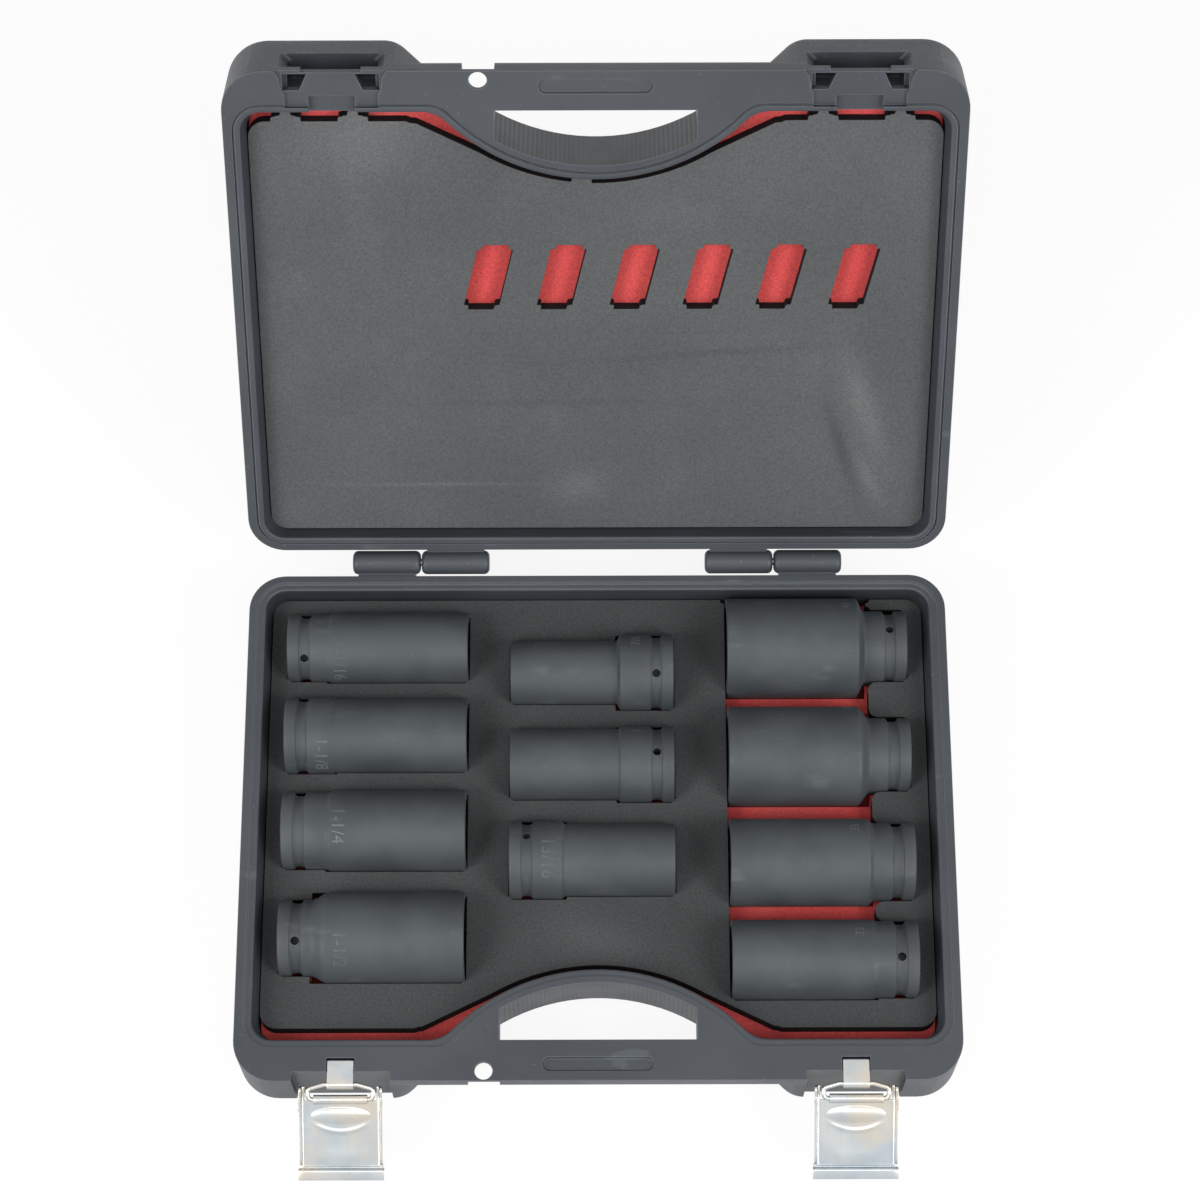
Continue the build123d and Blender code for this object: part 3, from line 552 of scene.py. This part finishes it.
def makeFoamPiece(node, material, half, body, upright):
    bm = bmesh.new()
    bm.from_mesh(frame["nodes"][node].data)
    bmesh.ops.remove_doubles(bm, verts=bm.verts, dist=0.01 * mm)
    bmesh.ops.dissolve_limit(bm, angle_limit=math.radians(2), verts=bm.verts, edges=bm.edges)
    if upright:
        roundUpright(bm, half.out, upright)
    edges = sharpEdges(bm, False, half.out)
    bmesh.ops.bevel(bm, geom=edges, offset=foamShape["rim"], segments=2, affect="EDGES", clamp_overlap=True)
    piece = finished(node + "_soft", bm, material, body, sharp=30)
    for face in piece.data.polygons:
        if abs(face.normal.dot(half.out)) > 0.99:
            face.use_smooth = False
    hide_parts(node)


makeFoamPiece("base_red_foam", baseRed, basePlace, "base", 0)
makeFoamPiece("base_black_foam", baseBlack, basePlace, "base", foamShape["baseUpright"])
makeFoamPiece("lid_red_foam", lidRed, lidPlace, "lid", 0)
makeFoamPiece("lid_black_foam", lidBlack, lidPlace, "lid", foamShape["lidUpright"])
print("foam made")


socketSizes = {  # flats, body, drive, collar, cone, which way the mouth faces, pin hole forward of upright
    "socket_1_1_16": (27.0, 39.8, 38.0, 22.0, 3.0, 1, 38.0),
    "socket_1_1_8": (28.6, 41.3, 42.5, 26.0, 2.0, 1, 180.0),
    "socket_1_1_4": (31.8, 44.6, 42.5, 24.0, 3.0, 1, 180.0),
    "socket_1_1_2": (38.1, 49.4, 41.5, 17.3, 9.2, 1, 19.0),
    "socket_7_8": (22.2, 36.0, 43.0, 29.0, 2.5, -1, 20.0),
    "socket_1": (25.4, 39.5, 42.5, 29.0, 2.0, -1, -4.0),
    "socket_13_16": (20.6, 39.7, 42.8, 28.0, 2.5, 1, -27.0),
    "socket_41": (41.0, 56.1, 41.6, 23.0, 5.0, -1, -14.0),
    "socket_38": (38.0, 55.1, 42.0, 22.0, 7.0, -1, 180.0),
    "socket_35": (35.0, 47.7, 42.5, 22.0, 4.0, -1, 180.0),
    "socket_32": (32.0, 43.3, 41.5, 22.0, 3.0, -1, 10.0),
}
socketShape = {
    "edge": 1.1,
    "flange": 6.5,
    "groove": 6.1,
    "grooveSide": [(-0.6, 0.0), (-0.15, 0.2), (0.1, 1.1), (1.1, 1.85), (2.2, 2.0)],  # onward and in
    "square": 9.525,
    "squareDepth": 25.0,
    "relief": 28.0,
    "reliefShare": 0.8,
    "mouthChamfer": 1.6,
    "mouthFlare": 0.5,
    "pinHole": 2.3,
    "squareChamfer": 0.5,
    "step": 0.1,             # length of a step between two bores
}
socketMarks = {  # size, from the drive end, height of the figures, forward of upright, reading down or up
    "socket_1_1_16": ("1-1/16", 29.0, 7.0, 42.0, 1),
    "socket_1_1_8": ("1-1/8", 20.2, 7.0, 48.0, 1),
    "socket_1_1_4": ("1-1/4", 31.0, 7.0, 8.0, 1),
    "socket_1_1_2": ("1-1/2", 33.5, 7.0, 30.0, 1),
    "socket_7_8": ("7/8", 20.5, 5.2, -38.0, -1),
    "socket_1": ("1", 20.5, 5.2, -44.0, -1),
    "socket_13_16": ("13/16", 21.0, 7.2, 12.0, 1),
    "socket_41": ("41", 33.5, 4.8, -40.0, -1),
    "socket_38": ("38", 34.5, 4.8, -58.0, -1),
    "socket_35": ("35", 32.5, 4.8, -36.0, -1),
    "socket_32": ("32", 31.5, 4.8, -30.0, -1),
}


def socketStations(length, flats, body, drive, collar, cone):
    shape = socketShape
    bodyR = body / 2
    driveR = drive / 2
    grooveEnd = shape["flange"] + shape["groove"]
    edge = shape["edge"]
    hexEnd = length - shape["mouthChamfer"]
    hexStart = shape["squareDepth"] + shape["relief"]
    chamfer = shape["squareChamfer"]
    made = [(chamfer, shape["square"], 4), (0, shape["square"] + chamfer, 4), (0, driveR - edge - 1.5, 0)]
    made += cornerRound(driveR, edge)
    made += [(shape["flange"] + onward, driveR - inward, 0) for onward, inward in shape["grooveSide"]]
    made += [(grooveEnd - onward, driveR - inward, 0) for onward, inward in shape["grooveSide"][::-1]]
    made += [(collar - 1.2, driveR, 0)]
    step = bodyR - driveR
    for count in range(9):
        share = count / 8
        made.append((collar + cone * share, driveR + step * (1 - math.cos(math.pi * share)) / 2, 0))
    made += [(collar + cone + 1.2, bodyR, 0), ((collar + cone + length) / 2, bodyR, 0)]
    for count in range(5):
        turn = math.pi / 8 * count
        made.append((length - edge * (1 - math.sin(turn)), bodyR - edge * (1 - math.cos(turn)), 0))
    made += [(length, flats / math.sqrt(3) + shape["mouthFlare"], 0)]
    made += [(hexEnd, flats / 2, 6), (hexStart, flats / 2, 6)]
    relief = shape["reliefShare"] * flats / 2
    inner = min(relief, shape["square"] - 0.4)
    squareEnd = shape["squareDepth"]
    made += [(hexStart - shape["step"], relief, 0), (squareEnd + shape["step"], relief, 0)]
    made += [(squareEnd, inner, 0), (squareEnd - shape["step"], shape["square"], 4)]
    return made


def makeCutter(reach):  # the pin hole's drill, from the axis outwards
    bm = bmesh.new()
    radius = socketShape["pinHole"]
    bmesh.ops.create_cone(bm, cap_ends=True, segments=32, radius1=radius, radius2=radius, depth=reach)
    bmesh.ops.translate(bm, verts=bm.verts, vec=(0, 0, reach / 2))
    return bm


def makeSocket(node, flats, body, drive, collar, cone, toward, holeAngle):
    low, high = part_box(node)
    length = (high.x - low.x) / mm
    bm = loftRings(socketStations(length, flats, body, drive, collar, cone))
    start = low.x if toward > 0 else high.x
    centre = Vector((start, (low.y + high.y) / 2, (low.z + high.z) / 2))
    turn = Matrix.Rotation(toward * math.pi / 2, 4, "Y")
    bmesh.ops.transform(bm, matrix=Matrix.Translation(centre) @ turn @ Matrix.Scale(mm, 4), verts=bm.verts)
    drill = makeCutter(drive / 2 + 1)
    holeAt = centre + Vector((toward * (socketShape["flange"] + socketShape["groove"] / 2) * mm, 0, 0))
    lean = Matrix.Rotation(math.radians(holeAngle), 4, "X")
    drillPlace = Matrix.Translation(holeAt) @ lean @ Matrix.Scale(mm, 4)
    bmesh.ops.transform(drill, matrix=drillPlace, verts=drill.verts)
    drillMesh = bpy.data.meshes.new("pinDrill")
    drill.to_mesh(drillMesh)
    drill.free()
    drillPiece = bpy.data.objects.new("pinDrill", drillMesh)
    bpy.context.scene.collection.objects.link(drillPiece)
    cut = ("BOOLEAN", {"object": drillPiece, "operation": "DIFFERENCE", "solver": "EXACT"})
    piece = finished(node + "_deep", bm, socketSteel, node, modifiers=[cut])
    bpy.data.objects.remove(drillPiece)
    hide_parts(node)
    return centre


def figureMesh(text, height):
    curve = bpy.data.curves.new("figures", "FONT")
    curve.body = text
    curve.size = height / 0.7
    curve.align_x = "CENTER"
    curve.align_y = "CENTER"
    curve.extrude = 0.06
    holder = bpy.data.objects.new("figures", curve)
    bpy.context.scene.collection.objects.link(holder)
    bpy.context.view_layer.update()
    mesh = bpy.data.meshes.new_from_object(holder.evaluated_get(bpy.context.evaluated_depsgraph_get()))
    bpy.data.objects.remove(holder)
    return mesh


def markSocket(node, centre, text, fromDrive, height, angle, reading):
    _, body, drive, collar, cone, toward, _ = socketSizes[node]
    radius = body / 2 if fromDrive > collar + cone else drive / 2
    bm = bmesh.new()
    bm.from_mesh(figureMesh(text, height))
    for _ in range(4):
        long = [edge for edge in bm.edges if abs(edge.verts[0].co.x - edge.verts[1].co.x) > 0.9]
        if long:
            bmesh.ops.subdivide_edges(bm, edges=long, cuts=1)
    bmesh.ops.triangulate(bm, faces=bm.faces)
    for vert in bm.verts:
        turn = math.radians(angle) + reading * vert.co.x / radius
        reach = radius + 0.02 + vert.co.z * 0.6
        place = Vector((0, -math.sin(turn) * reach, math.cos(turn) * reach))
        place.x = toward * fromDrive + reading * vert.co.y
        vert.co = centre + place * mm
    finished(node + "_size", bm, markSteel, node)


for node, sizes in socketSizes.items():
    middle = makeSocket(node, *sizes)
    markSocket(node, middle, *socketMarks[node])
print("sockets made")


latchShape = {
    "sheet": 1.2,
    "wire": 1.2,
    "strapWidth": 14.0,
    "strapLeg": 7.4,
    "strapBack": 12.7,       # from the ring's bar in the loop back to the leg
    "leverLean": 30.0,
    "leverHalf": 22.0,
    "leverFace": 2.65,
    "leverEnd": 44.5,
    "ear": 6.5,
    "earWidth": 2.6,
    "bend": 2.0,             # round the foot of the side flanges
    "flange": 3.4,
    "flangeEnd": 36.8,
    "tipLength": 4.2,
    "rollWidth": 28.4,
    "lipStart": 38.1,
    "lipHeight": 3.6,
    "lipHalf": 22.6,
    "hookRoot": 1.8,
    "hookEnd": 4.8,
    "hookTip": 2.4,
    "hookHeight": 8.0,
    "embossAt": 9.2,
    "embossLength": 31.5,
    "embossWidth": 8.6,
    "embossHeight": 1.1,
    "creaseSag": 5.0,
    "creaseAt": 18.0,
    "creaseHeight": 0.4,
    "creaseHalf": 15.5,
    "creaseWidth": 1.1,
    "creaseFade": 13.5,
    "swellAt": 32.0,         # low rise near the lip
    "swellLength": 4.5,
    "swellHalf": 13.0,
    "swellHeight": 0.35,
    "plateStart": 1.4,
    "plateGap": 0.9,         # from the plate to the lip's start
    "earInset": 0.4,
    "earRound": 2.2,
    "strapCorner": 1.2,
}
sheetModifiers = [
    ("SOLIDIFY", {"thickness": latchShape["sheet"] * mm, "offset": 0.0, "use_even_offset": True}),
    ("BEVEL", {"width": 0.28 * mm, "segments": 2, "limit_method": "ANGLE", "angle_limit": math.radians(50)}),
]


def layGrid(bm, place, steps, rows):  # a grid whose points are put by place(share along, share across)
    made = bmesh.ops.create_grid(bm, x_segments=steps, y_segments=rows, size=0.5)["verts"]
    for vert in made:
        vert.co = place(vert.co.x + 0.5, vert.co.y + 0.5)


def bend(centre, radius, start, end, steps):  # points of an arc, angles in degrees
    made = []
    for step in range(steps + 1):
        turn = math.radians(start + (end - start) * step / steps)
        made.append((centre[0] + radius * math.cos(turn), centre[1] + radius * math.sin(turn)))
    return made


def layStrip(bm, points, low, high, toWorld, rows=6):  # a bent strip with the given side view
    count = len(points) - 1

    def place(share, across):
        first, second = points[round(share * count)]
        return toWorld(first, low + (high - low) * across, second)
    layGrid(bm, place, count, rows)


def makeStrap(side, loop):
    shape = latchShape
    radius = shape["wire"] + 0.1 + shape["sheet"] / 2
    back = shape["strapBack"]
    corner = shape["strapCorner"]
    points = [(back, radius - shape["strapLeg"] + 0.6), (back, radius - 3.5)]
    points += bend((back - corner, radius - corner), corner, 0, 90, 5)
    points += [(back * 0.6, radius), (back * 0.3, radius)]
    points += bend((0, 0), radius, 90, 350, 26)

    def toWorld(first, across, second):
        return loop + Vector((across, first, second)) * mm
    bm = bmesh.new()
    half = shape["strapWidth"] / 2
    layStrip(bm, points, -half, half, toWorld)
    piece = finished(side + "_latch_strap_bent", bm, zinc, "base", 40, sheetModifiers)
    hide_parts(side + "_latch_strap")


def leverSection(reach):  # across and up at a distance over the sheet from its middle line
    shape = latchShape
    flat = shape["leverHalf"] - shape["sheet"] / 2 - shape["bend"]
    floor = shape["sheet"] / 2 - shape["leverFace"]
    side = math.copysign(1, reach)
    beyond = abs(reach) - flat
    if beyond <= 0:
        return reach, floor
    quarter = shape["bend"] * math.pi / 2
    if beyond <= quarter:
        turn = beyond / shape["bend"]
        return side * (flat + shape["bend"] * math.sin(turn)), floor + shape["bend"] * (1 - math.cos(turn))
    return side * (flat + shape["bend"]), floor + shape["bend"] + beyond - quarter


def sectionReach(share=1.0):  # over the sheet to the flange's edge, or to the foot of its bend
    shape = latchShape
    flat = shape["leverHalf"] - shape["sheet"] / 2 - shape["bend"]
    wall = shape["flange"] - shape["sheet"] / 2 - shape["bend"]
    return flat + share * (shape["bend"] * math.pi / 2 + wall)


def pressed(along, across):  # height of the pressed shapes over the lever's floor
    shape = latchShape
    inside = ((along - shape["embossAt"]) / shape["embossWidth"] * 2) ** 2
    inside += (across / shape["embossLength"] * 2) ** 2
    height = shape["embossHeight"] * max(0.0, 1 - inside) ** 0.75
    crease = along - shape["creaseAt"] + shape["creaseSag"] * (across / shape["creaseHalf"]) ** 2
    fade = math.exp(-(across / shape["creaseFade"]) ** 6)
    height += shape["creaseHeight"] * math.exp(-(crease / shape["creaseWidth"]) ** 2) * fade
    swell = ((along - shape["swellAt"]) / shape["swellLength"]) ** 2 + (across / shape["swellHalf"]) ** 2
    return height + shape["swellHeight"] * math.exp(-swell)


def makeLever(side, bar):
    shape = latchShape
    lean = math.radians(shape["leverLean"])
    onward = Vector((0, -math.cos(lean), -math.sin(lean)))
    upward = Vector((0, -math.sin(lean), math.cos(lean)))

    def toWorld(along, across, up):
        return bar + (onward * along + Vector((across, 0, 0)) + upward * up) * mm

    def platePlace(share, across):
        start = shape["plateStart"]
        along = start + (shape["lipStart"] - shape["plateGap"] - start) * share
        left = max(0.0, along - (shape["flangeEnd"] - shape["tipLength"])) / shape["tipLength"]
        reach = sectionReach(math.sqrt(max(0.0, 1 - min(1.0, left) ** 2)))
        sideways, up = leverSection((across * 2 - 1) * reach)
        return toWorld(along, sideways, up + pressed(along, sideways))

    def earPlace(hand):
        def place(share, across):
            along = -shape["ear"] + (shape["ear"] + shape["plateStart"]) * share
            start = shape["leverHalf"] - shape["earWidth"] - shape["earInset"]
            gone = max(0.0, 1 - (along + shape["ear"]) / shape["earRound"])
            reach = start + (sectionReach() - start) * (0.55 + 0.45 * math.sqrt(1 - gone ** 2))
            sideways, up = leverSection(hand * (start + (reach - start) * across))
            return toWorld(along, sideways, up)
        return place

    bm = bmesh.new()
    layGrid(bm, platePlace, 72, 84)
    for hand in (-1, 1):
        layGrid(bm, earPlace(hand), 16, 10)
    radius = shape["wire"] + 0.1 + shape["sheet"] / 2
    roll = [(2.2, -radius), (1.1, -radius)] + bend((0, 0), radius, 270, 15, 28)
    layStrip(bm, roll, -shape["rollWidth"] / 2, shape["rollWidth"] / 2, toWorld)
    floor = shape["sheet"] / 2 - shape["leverFace"]
    start = shape["lipStart"]
    top = floor + shape["lipHeight"] - shape["sheet"]
    lip = [(start - 1.6, floor), (start - 0.6, floor)]
    lip += bend((start - 0.4, floor + 1.0), 1.0, 270, 360, 5)
    lip += bend((start + 1.4, top - 0.8), 0.8, 180, 90, 5)
    lip += [(start + 3.0, top)]
    lip += bend((shape["leverEnd"] - 1.6, top - 1.0), 1.0, 90, 10, 5)
    layStrip(bm, lip, -shape["lipHalf"], shape["lipHalf"], toWorld, 10)
    wall = shape["leverHalf"] - shape["sheet"] / 2
    for hand in (-1, 1):
        high = shape["hookHeight"] - shape["leverFace"]
        low = shape["flange"] - shape["leverFace"] - 0.8

        def post(first, second, hand=hand, high=high, low=low):
            along = shape["hookRoot"] + (shape["hookEnd"] - shape["hookRoot"]) * first
            return toWorld(along, hand * wall, low + (high - low) * second)

        def tip(first, second, hand=hand, high=high):
            along = -shape["hookTip"] + (shape["hookTip"] + shape["hookRoot"] + 0.4) * first
            return toWorld(along, hand * wall, high - shape["sheet"] * (0.4 + 0.6 * first) * (1 - second))
        layGrid(bm, post, 3, 4)
        layGrid(bm, tip, 4, 1)
    name = side + "_latch_lever_pressed"
    piece = finished(name, bm, zinc, side + "_lever", 40, sheetModifiers)
    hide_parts(side + "_latch_lever")


for side in ("left", "right"):
    makeStrap(side, Vector(joints[side + "_ring_hinge"]["pos_m"]))
    makeLever(side, Vector(joints[side + "_lever_hinge"]["pos_m"]))
print("latches made")


floorLook = {
    "half": 6.0,
    "body": (0.85, 0.85, 0.85, 1),
    "glow": 1.07,
    "glowShare": 0.83,
}


def makeFloor():
    bm = bmesh.new()
    bmesh.ops.create_grid(bm, x_segments=1, y_segments=1, size=floorLook["half"])
    mesh = bpy.data.meshes.new("floor")
    bm.to_mesh(mesh)
    bm.free()
    floor = bpy.data.objects.new("floor", mesh)
    bpy.context.scene.collection.objects.link(floor)
    shader = Shader("paleFloor", Roughness=1.0, Base_Color=floorLook["body"], Specular_IOR_Level=0.0)
    camera = shader.make("ShaderNodeLightPath", out="Is Camera Ray")
    glossy = shader.make("ShaderNodeLightPath", out="Is Glossy Ray")
    glow = shader.make("ShaderNodeEmission", {}, {"Color": (1, 1, 1, 1), "Strength": floorLook["glow"]})
    base = Term(shader, shader.surface.outputs[0])
    factor = camera.most(glossy) * floorLook["glowShare"]
    share = shader.make("ShaderNodeMixShader", {}, {0: factor, 1: base, 2: glow})
    output = shader.tree.nodes["Material Output"]
    shader.tree.links.new(share.socket, output.inputs["Surface"])
    mesh.materials.append(shader.material)
    floor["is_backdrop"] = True


studio = {
    "ambient": 0.2,
    "seen": 1.0,
    "aim": (0, 0.05, 0.05),
    "lamps": [  # place, size and power
        ("leftSoftbox", (-1.5, -0.9, 1.3), (1.0, 1.4), 28.0),
        ("rightSoftbox", (1.5, -0.9, 1.3), (1.0, 1.4), 28.0),
        ("topSoftbox", (0, -0.7, 1.9), (0.8, 0.8), 6.0),
    ],
    "cameraPlace": (1.55 * mm, -549.8 * mm, 1787.0 * mm),
    "cameraTilt": 21.35,
    "cameraTurn": -0.15,
    "cameraLens": 100.6,
}


def makeWorld():
    world = bpy.data.worlds.new("studio")
    bpy.context.scene.world = world
    world.use_nodes = True
    tree = world.node_tree
    back = tree.nodes["Background"]
    path = tree.nodes.new("ShaderNodeLightPath")
    either = tree.nodes.new("ShaderNodeMath")
    either.operation = "MAXIMUM"
    tree.links.new(path.outputs["Is Camera Ray"], either.inputs[0])
    tree.links.new(path.outputs["Is Glossy Ray"], either.inputs[1])
    seen = tree.nodes.new("ShaderNodeMapRange")
    tree.links.new(either.outputs[0], seen.inputs["Value"])
    seen.inputs["To Min"].default_value = studio["ambient"]
    seen.inputs["To Max"].default_value = studio["seen"]
    tree.links.new(seen.outputs[0], back.inputs["Strength"])
    back.inputs["Color"].default_value = (1.0, 1.0, 1.0, 1)


def makeLamp(name, place, size, power):
    lamp = bpy.data.lights.new(name, "AREA")
    lamp.shape = "RECTANGLE"
    lamp.size, lamp.size_y = size
    lamp.energy = power
    holder = bpy.data.objects.new(name, lamp)
    bpy.context.scene.collection.objects.link(holder)
    holder.location = place
    holder.rotation_euler = (Vector(studio["aim"]) - Vector(place)).to_track_quat("-Z", "Y").to_euler()


def makeCamera():
    camera = bpy.data.cameras.new("camera")
    camera.lens = studio["cameraLens"]
    camera.clip_end = 30
    holder = bpy.data.objects.new("camera", camera)
    bpy.context.scene.collection.objects.link(holder)
    holder.location = studio["cameraPlace"]
    tilt = Matrix.Rotation(math.radians(studio["cameraTilt"]), 4, "X")
    turn = Matrix.Rotation(math.radians(studio["cameraTurn"]), 4, "Z")
    holder.rotation_euler = (tilt @ turn).to_euler()
    bpy.context.scene.camera = holder


bpy.context.scene.view_settings.view_transform = "Standard"
makeFloor()
makeWorld()
for lamp in studio["lamps"]:
    makeLamp(*lamp)
makeCamera()
print("stage set")

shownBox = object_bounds()
sizes = {"cad": [list(corner) for corner in cadBox], "shown": [list(corner) for corner in shownBox]}
